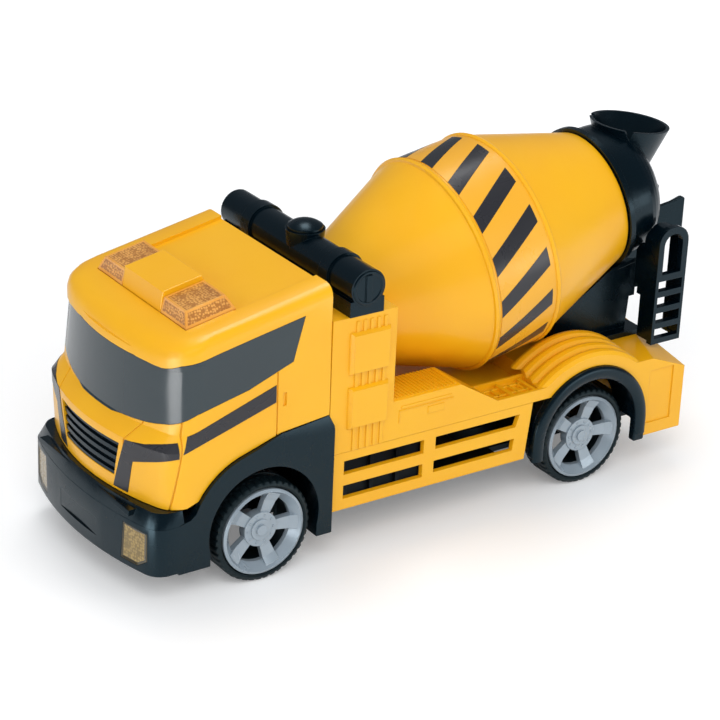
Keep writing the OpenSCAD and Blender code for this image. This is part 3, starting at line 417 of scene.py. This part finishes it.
def add_slab(bm, top, bottom):
    """Closed thin solid between two equal grids of points."""
    upper, lower = add_grid(bm, top), add_grid(bm, bottom)
    ring_u = ([(i, 0) for i in range(len(top))] + [(len(top) - 1, j) for j in range(1, len(top[0]))]
              + [(i, len(top[0]) - 1) for i in range(len(top) - 2, -1, -1)]
              + [(0, j) for j in range(len(top[0]) - 2, 0, -1)])
    for k, (i, j) in enumerate(ring_u):
        m, n = ring_u[(k + 1) % len(ring_u)]
        bm.faces.new((upper[i][j], upper[m][n], lower[m][n], lower[i][j]))


def add_block(bm, low, high):
    """Box between two corners, as a closed solid."""
    x0, y0, z0 = low
    x1, y1, z1 = high
    add_slab(bm, [[(x0, y0, z1), (x0, y1, z1)], [(x1, y0, z1), (x1, y1, z1)]],
             [[(x0, y0, z0), (x0, y1, z0)], [(x1, y0, z0), (x1, y1, z0)]])


def round_edges(obj, width, segments=2, angle=30.0):
    """Rounds the edges of a piece by a width in millimetres."""
    edge = obj.modifiers.new("rounded_edges", "BEVEL")
    edge.width = width * MM
    edge.segments = segments
    edge.limit_method = "ANGLE"
    edge.angle_limit = math.radians(angle)
    obj.modifiers.new("even_normals", "WEIGHTED_NORMAL").keep_sharp = True


JOINTS = {j["name"]: j for j in frame["joints"]}


# ---------- drum ----------

DRUM_POINT = Vector(JOINTS["drum_turn"]["pos_m"])
DRUM_AXIS = Vector(JOINTS["drum_turn"]["axis"]).normalized()
DRUM_UP = Vector((0, -DRUM_AXIS.z, DRUM_AXIS.y))


def on_drum(s, angle, radius):
    """Point at distance s along the drum's axis; the angle runs from the top towards +X, in degrees."""
    a = math.radians(angle)
    return (DRUM_POINT + DRUM_AXIS * (s * MM)
            + (DRUM_UP * math.cos(a) + Vector((1, 0, 0)) * math.sin(a)) * (radius * MM))


def drum_stripes():
    """Dark slanted stripes printed round the drum's label."""
    low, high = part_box("drum_sticker")
    radius = (high.x - low.x) / 2 / MM
    # angles in degrees: from one stripe to the next, across a stripe, and along its slant
    pitch, width, slant = 23.2, 9.8, -18.0
    first, count = 20.4 - 3 * pitch, 15
    s0, s1 = 1.7, 23.1  # ends of the label along the drum's axis
    bm = bmesh.new()
    for k in range(count):
        start = first + k * pitch
        faces = [[[on_drum(s0 + (s1 - s0) * i / 8, start + slant * i / 8 + width * j / 5, r)
                   for j in range(6)] for i in range(9)] for r in (radius + 0.05, radius - 0.05)]
        add_slab(bm, *faces)
    return link_piece("drum_stripes", finish_mesh(bm, "drum_stripes"), "drum", MATS["sticker"])


# ---------- lenses ----------

def framed_lens(node, clear, frame_material, facing, border, depth):
    """Lens whose faces that point the given way are sunk inside a plain border."""
    bm = bmesh.new()
    bm.from_mesh(NODES[node].data)
    bmesh.ops.remove_doubles(bm, verts=bm.verts, dist=0.15 * MM)
    bmesh.ops.dissolve_limit(bm, angle_limit=math.radians(1), verts=bm.verts, edges=bm.edges)
    bm.normal_update()
    low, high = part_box(node)
    outward = Vector((1 if low.x > 0 else -1, 0, 0))
    faces = [f for f in bm.faces if facing(f, outward) and f.calc_area() > 6 * MM * MM]
    for face in bm.faces:
        face.material_index = 1
    border, depth = border * MM, depth * MM
    if facing is headlight_side:
        bmesh.ops.inset_region(bm, faces=faces, thickness=border, depth=-depth, use_even_offset=False)
    else:
        bmesh.ops.inset_individual(bm, faces=faces, thickness=border, depth=-depth, use_even_offset=True)
    for face in faces:
        face.material_index = 0
    mesh = bpy.data.meshes.new(node + "_framed")
    bm.to_mesh(mesh)
    bm.free()
    finish_of_face = [p.material_index for p in mesh.polygons]
    obj = link_piece(node + "_framed", mesh, BODY_OF[node], clear, (node,))
    mesh.materials.append(frame_material)
    mesh.polygons.foreach_set("material_index", finish_of_face)
    round_edges(obj, 0.12, 2, 20)
    return obj


def beacon_side(face, outward):
    """True for the top and the outer, front and rear slopes of a beacon lens."""
    n = face.normal
    return n.z > 0.2 and (n.z > 0.8 or n.dot(outward) > 0.2 or abs(n.y) > 0.2)


def headlight_side(face, outward):
    """True for the faces of a headlight lens that look forward."""
    return face.normal.y < -0.45


# ---------- tyres and wheels ----------

def wheel_place(node):
    """Centre of a wheel piece, the side that it is on, its outer face, and its radius in millimetres."""
    low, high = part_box(node)
    centre = (low + high) / 2
    side = 1 if centre.x > 0 else -1
    return centre, side, (high.x if side > 0 else low.x), (high.z - low.z) / 2 / MM


def tyre_piece(node):
    """Tyre with staggered shoulder lugs, a centre groove and a stepped sidewall."""
    centre, outer, face, radius = wheel_place(node)
    half = abs(face - centre.x) / MM
    lugs, steps, lug_depth = 42, 6, 0.5
    # radius and place across the tread, from the inner bead to the outer one; "a" and "b" mark the two
    # shoulders, whose lugs are half a step apart
    profile = [(radius - 3.9, -half, ""), (radius - 2.2, -half, ""), (radius - 1.1, -half + 0.1, ""),
               (radius - 0.35, -half + 0.5, "a"), (radius, -half + 1.3, "a"), (radius, -half + 3.9, "a"),
               (radius, -half + 4.3, ""), (radius, -0.6, ""), (radius - 0.7, -0.4, ""),
               (radius - 0.7, 0.4, ""), (radius, 0.6, ""), (radius, half - 4.3, ""),
               (radius, half - 3.9, "b"), (radius, half - 1.3, "b"), (radius - 0.35, half - 0.5, "b"),
               (radius - 1.1, half - 0.1, ""), (radius - 1.5, half, ""), (radius - 1.75, half, ""),
               (radius - 1.9, half - 0.25, ""), (radius - 2.15, half - 0.25, ""),
               (radius - 2.35, half - 0.55, ""), (radius - 2.75, half - 1.3, ""),
               (radius - 3.9, half - 2.1, "")]
    rows = []
    for i in range(lugs * steps):
        a = 2 * math.pi * i / (lugs * steps)
        row = []
        for r, w, kind in profile:
            phase = (i + (steps // 2 if kind == "b" else 0)) % steps
            if kind and phase in (0, 1):
                r -= lug_depth
            row.append(centre + Vector((outer * w * MM, r * MM * math.cos(a), r * MM * math.sin(a))))
        rows.append(row)
    bm = bmesh.new()
    add_grid(bm, rows, close_u=True, close_v=True)
    return link_piece(node + "_tread", finish_mesh(bm, node + "_tread", 32), BODY_OF[node],
                      MATS["tyre"], (node,))


def hub_studs(node):
    """Ring of small studs moulded round the hub."""
    centre, side, face, _ = wheel_place(node)
    studs, ring_radius, hub_depth = 10, 4.9, 2.45
    hub_face = face - side * hub_depth * MM
    bm = bmesh.new()
    for spot in circle(centre, hub_face, ring_radius, studs):
        rows = [circle(spot, hub_face + side * height * MM, r, 12)
                for height, r in ((-0.5, 0.48), (0.1, 0.48), (0.26, 0.36), (0.32, 0.0001))]
        add_grid(bm, rows, close_v=True)
    link_piece(node + "_studs", finish_mesh(bm, node + "_studs"), BODY_OF[node], MATS["grey_rim"])


def wheel_shade_liner(node):
    """Dark ring inside the wheel, drawn as the tyre's inner wall and put there as painted shade, so that the
    openings between the spokes look dark.
    """
    centre, side, face, radius = wheel_place(node)
    # depth behind the outer face, and distance below the rim's edge
    section = ((5.6, 2.7), (12.2, 2.7), (12.2, 4.1), (11.8, 4.1), (11.4, 3.1), (5.6, 3.0))
    bm = bmesh.new()
    rows = [circle(centre, face - side * depth * MM, radius - drop, 72) for depth, drop in section]
    add_grid(bm, rows, close_u=True, close_v=True)
    link_piece(node + "_shade_liner", finish_mesh(bm, node + "_shade_liner"), BODY_OF[node], MATS["tyre"])


# ---------- small body details ----------

def truck_piece(name, bm, material, rounding=0.0):
    """Added piece of the truck's own body, in the finish of a material slot."""
    obj = link_piece(name, finish_mesh(bm, name), "truck", MATS[material])
    if rounding:
        round_edges(obj, rounding)


def axle_y(node):
    low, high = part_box(node)
    return (low.y + high.y) / 2


def tube_caps():
    """Raised disc with an upright bar on each end of the roof tube."""
    low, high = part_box("roof_tube")
    middle = Vector((0, (low.y + high.y) / 2, low.z + TUBE_RISE))
    disc = ((-0.6, 5.9), (0.15, 5.9), (0.4, 5.6), (0.4, 4.9), (0.15, 4.7), (0.15, 0.001))
    for side, name in SIDES:
        face = high.x if side > 0 else low.x
        rows = [circle(middle, face + side * height * MM, r, 64) for height, r in disc]
        bm = bmesh.new()
        add_grid(bm, rows, close_v=True)
        x0, x1 = sorted((face - side * 0.4 * MM, face + side * 0.75 * MM))
        add_block(bm, (x0, middle.y - 1.1 * MM, middle.z - 4.6 * MM),
                  (x1, middle.y + 1.1 * MM, middle.z + 4.6 * MM))
        truck_piece("tube_cap_" + name, bm, "black_trim", 0.12)


def step_details():
    """Raised bars and a small plain plate on the outer face of each side step."""
    origin, half = axle_y("front_axle_rod"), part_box("side_skirt_left")[1].x
    # opposite corners of each block: distance behind the front axle, and height
    blocks = (((53.2, 49.3), (73.8, 50.2)), ((52.4, 44.2), (52.8, 48.6)), ((52.4, 48.4), (74.6, 48.8)),
              ((64.2, 45.0), (71.0, 47.6)))
    for side, name in SIDES:
        face = side * half
        x0, x1 = sorted((face - side * 0.3 * MM, face + side * 0.28 * MM))
        bm = bmesh.new()
        for (y0, z0), (y1, z1) in blocks:
            add_block(bm, (x0, origin + y0 * MM, z0 * MM), (x1, origin + y1 * MM, z1 * MM))
        truck_piece("step_emboss_" + name, bm, "yellow_shell", 0.14)


def arch_beads():
    """Glossy half-round bead along the outer face of each rear wheel arch trim."""
    y0 = axle_y("rear_axle_rod")
    radius = (TRIM_OUTER - TRIM_INNER) / 2
    for side, name in SIDES:
        low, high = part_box("rear_arch_trim_" + name)
        face = high.x if side > 0 else low.x
        middle, foot = high.z - TRIM_Z - radius, low.z + 3 * MM
        # points along the trim from one foot to the other, each with the direction away from the wheel
        path = [(y0 + middle, foot + (TRIM_Z - foot) * i / 8, 1, 0) for i in range(8)]
        path += [(y0 + middle * math.cos(a), TRIM_Z + middle * math.sin(a), math.cos(a), math.sin(a))
                 for a in (math.pi * i / 64 for i in range(65))]
        path += [(y0 - middle, TRIM_Z - (TRIM_Z - foot) * i / 8, -1, 0) for i in range(1, 9)]
        rows = []
        for y, z, ny, nz in path:
            row = []
            for t in (math.pi * (i / 12 - 0.5) for i in range(13)):
                away, out = radius * math.sin(t), 1.1 * MM * math.cos(t) - 0.1 * MM
                row.append((face + side * out, y + ny * away, z + nz * away))
            rows.append(row)
        bm = bmesh.new()
        add_slab(bm, rows, [[(face - side * 0.4 * MM, y, z) for _, y, z in row] for row in rows])
        truck_piece("arch_bead_" + name, bm, "black_trim")


def deck_ribs():
    """Low crossed ribs on the sunken panels of the bed beside the drum."""
    origin = axle_y("front_axle_rod")
    bottom, top, rib = DECK_Z - 2.4 * MM, DECK_Z - 1.1 * MM, 0.8
    # opposite corners of each rib: distance from the middle, and distance behind the front axle
    ribs = [((29.6, y), (38.3, y + rib)) for y in (97.4, 101.2, 105.0, 108.8)]
    ribs += [((x, 91.0 + 0.4 * (x - 27)), (x + rib, 113.0)) for x in (29.4, 34.2)]
    for side, name in SIDES:
        bm = bmesh.new()
        for (x0, y0), (x1, y1) in ribs:
            left, right = sorted((side * x0 * MM, side * x1 * MM))
            add_block(bm, (left, origin + y0 * MM, bottom), (right, origin + y1 * MM, top))
        truck_piece("deck_ribs_" + name, bm, "yellow_shell", 0.14)


# ---------- pieces ----------

MATS = build_materials()
SIDES = ((1, "left"), (-1, "right"))
DECK_Z = 42.8 * MM  # top of the load bed
TRIM_Z = 20.9 * MM  # centre height of the rear arch trims
TRIM_OUTER, TRIM_INNER = 25.4 * MM, 20.6 * MM
TUBE_RISE = 9.3 * MM  # from the foot of the roof tube to its axis
FINISH = {"drum_sticker": "label_yellow"}
TYRES = sorted(n for n in NODES if n.startswith("tyre_"))
BEACONS = ("beacon_lens_left", "beacon_lens_right")
HEADLIGHTS = ("headlight_lens_left", "headlight_lens_right")
# rounding of the plainest nodes, in millimetres
ROUNDED = {"beacon_cover": 0.4, "push_button": 0.25, "battery_door": 0.25, "power_switch_knob": 0.15,
           "discharge_chute": 0.2, "rear_arch_trim_left": 1.0, "rear_arch_trim_right": 1.0, "speaker": 0.2}
FACETED = {"cab_shell", "front_bumper", "windscreen_panel", "cab_trim_stickers"}

for node in NODES:
    if node not in TYRES and node not in BEACONS and node not in HEADLIGHTS:
        refined(node, MATS[FINISH.get(node, SLOT_OF[node])], ROUNDED.get(node, 0.0), node in FACETED)
for node in BEACONS:
    framed_lens(node, MATS["amber_lens"], MATS["amber_edge"], beacon_side, 0.75, 0.12)
for node in HEADLIGHTS:
    framed_lens(node, MATS["olive_lens"], MATS["olive_edge"], headlight_side, 0.9, 0.35)
drum_stripes()
for node in TYRES:
    tyre_piece(node)
    hub_studs(node.replace("tyre", "rim"))
    # dark ring inside each rim, a painted shade seen through the openings between the spokes
    wheel_shade_liner(node.replace("tyre", "rim"))
tube_caps()
step_details()
arch_beads()
deck_ribs()

# ---------- stage, light and camera ----------

def add_light(name, width, height, energy, location, target, mirrored, lights=True):
    """Area light; mirrored ones show as highlights, and one that doesn't light is only mirrored."""
    data = bpy.data.lights.new(name, "AREA")
    data.shape = "RECTANGLE"
    data.size, data.size_y = width, height
    data.energy = energy
    obj = bpy.data.objects.new(name, data)
    obj.visible_camera, obj.visible_diffuse, obj.visible_glossy = False, lights, mirrored
    bpy.context.scene.collection.objects.link(obj)
    obj.location = location
    obj.rotation_euler = (target - location).to_track_quat("-Z", "Y").to_euler()


def floor_material():
    """Pale matt floor that fades into the white backdrop away from the truck."""
    s = Shader("pale_floor")
    base = s.mix(s.ramp(s.noise(3, 2), 0.3, 0.7), (0.86, 0.86, 0.86), (0.9, 0.9, 0.9))
    s.link(base, s.bsdf.inputs["Base Color"])
    away = s.add("ShaderNodeVectorMath", operation="LENGTH")
    s.link(s.coords(), away.inputs[0])
    fade = s.ramp(away.outputs["Value"], 0.25, 0.9, 0.16, 1.0)
    glow = s.math("MULTIPLY", s.add("ShaderNodeLightPath").outputs["Is Camera Ray"], fade)
    s.link(glow, s.bsdf.inputs["Emission Strength"])
    s.set(Roughness=0.75, Emission_Color=(1.0, 1.0, 1.0, 1.0))
    return s.material


def build_floor():
    half, floor_z = 6.0, cad_low.z
    bm = bmesh.new()
    corners = [bm.verts.new((x, y, floor_z)) for x, y in
               ((-half, -half), (half, -half), (half, half), (-half, half))]
    bm.faces.new(corners)
    mesh = bpy.data.meshes.new("studio_floor")
    bm.to_mesh(mesh)
    bm.free()
    mesh.materials.append(floor_material())
    floor = bpy.data.objects.new("studio_floor", mesh)
    bpy.context.scene.collection.objects.link(floor)


def build_world():
    """White to the camera, softer as light, and dimmer still as a reflection."""
    world = bpy.data.worlds.new("studio")
    world.use_nodes = True
    tree = world.node_tree

    def background(colour, strength):
        node = tree.nodes.new("ShaderNodeBackground")
        node.inputs["Color"].default_value = (*colour, 1)
        node.inputs["Strength"].default_value = strength
        return node.outputs[0]

    def choose(ray, otherwise, when):
        mix = tree.nodes.new("ShaderNodeMixShader")
        tree.links.new(path.outputs[ray], mix.inputs[0])
        tree.links.new(otherwise, mix.inputs[1])
        tree.links.new(when, mix.inputs[2])
        return mix.outputs[0]

    path = tree.nodes.new("ShaderNodeLightPath")
    soft = choose("Is Glossy Ray", background((0.93, 0.96, 1), 0.5), background((0.8, 0.9, 1), 0.2))
    shown = choose("Is Camera Ray", soft, background((1, 1, 1), 1.0))
    tree.links.new(shown, tree.nodes["World Output"].inputs["Surface"])
    bpy.context.scene.world = world


def build_lights():
    """Soft light from all sides, and two low panels that only show as reflections."""
    centre = (cad_low + cad_high) / 2
    add_light("key_light", 0.7, 0.7, 6.5, centre + Vector((0.85, -0.5, 0.9)), centre, False)
    add_light("fill_light", 0.9, 0.9, 5, centre + Vector((1.1, 0.7, 0.5)), centre, False)
    add_light("overhead_light", 0.4, 0.5, 3.5, centre + Vector((-0.3, 0.15, 1.1)), centre, True)
    add_light("front_light", 0.7, 0.7, 4, centre + Vector((0.3, -1.2, 0.4)), centre, False)
    add_light("rear_fill", 0.8, 0.8, 3, centre + Vector((-0.8, 1.2, 0.4)), centre, False)
    corner = Vector((cad_high.x * 0.75, cad_low.y * 0.82, 70 * MM))
    panel = corner + Vector((0.042, -0.187, -0.035))
    add_light("corner_panel", 0.13, 0.075, 0.16, panel, corner, True, False)
    add_light("side_panel", 0.5, 0.2, 0.8, centre + Vector((0.77, 0.47, 0.04)), centre, True, False)


def build_camera():
    """Camera above the front left corner, slightly rolled, aimed at the truck's mid-plane."""
    azimuth, elevation, roll = math.radians(55.0), math.radians(24.62), math.radians(2.52)
    distance, target = 0.8848, Vector((0.0, -0.0123, 0.0487))
    back = Vector((math.sin(azimuth) * math.cos(elevation), -math.cos(azimuth) * math.cos(elevation),
                   math.sin(elevation)))
    data = bpy.data.cameras.new("camera")
    data.sensor_width = 36
    data.lens = 128.6
    data.clip_start, data.clip_end = 0.01, 50
    cam = bpy.data.objects.new("camera", data)
    bpy.context.scene.collection.objects.link(cam)
    turn = (-back).to_track_quat("-Z", "Y").to_matrix().to_4x4()
    cam.matrix_world = Matrix.Translation(target + back * distance) @ turn @ Matrix.Rotation(roll, 4, "Z")
    bpy.context.scene.camera = cam


build_floor()
build_world()
build_lights()
build_camera()
bpy.context.scene.view_settings.view_transform = "Standard"
